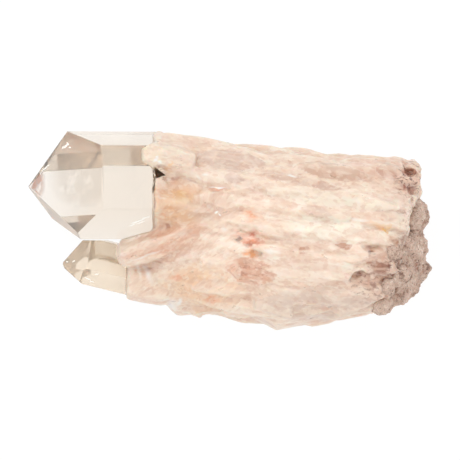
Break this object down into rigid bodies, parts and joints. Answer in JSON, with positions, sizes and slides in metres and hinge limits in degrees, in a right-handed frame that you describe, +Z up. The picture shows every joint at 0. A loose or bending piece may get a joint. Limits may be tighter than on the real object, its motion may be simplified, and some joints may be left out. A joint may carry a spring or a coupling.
{
  "type": "raw citrine crystal cluster",
  "caption": "Raw citrine: a clear, stout quartz point and a smaller one on a bundle of long milky crystals, with host rock on the broken root end; lies flat.",
  "frame": {"origin": "under the middle of the footprint, on the surface that the cluster lies on", "axes": "+Z up from the table; -X is the way the points grow; +X is the broken root end with the host rock"},
  "size_m": [0.1422, 0.0696, 0.0441],
  "materials": {
    "milky_quartz": "milky, peach-tinted quartz with a soft vitreous gloss",
    "clear_quartz": "clear, faintly golden quartz with polished natural faces",
    "host_rock": "granular, dull, iron-stained rock"
  },
  "bodies": {
    "root": {"crystal_cluster": "milky_quartz", "matrix_rock": "host_rock"}
  },
  "joints": []
}
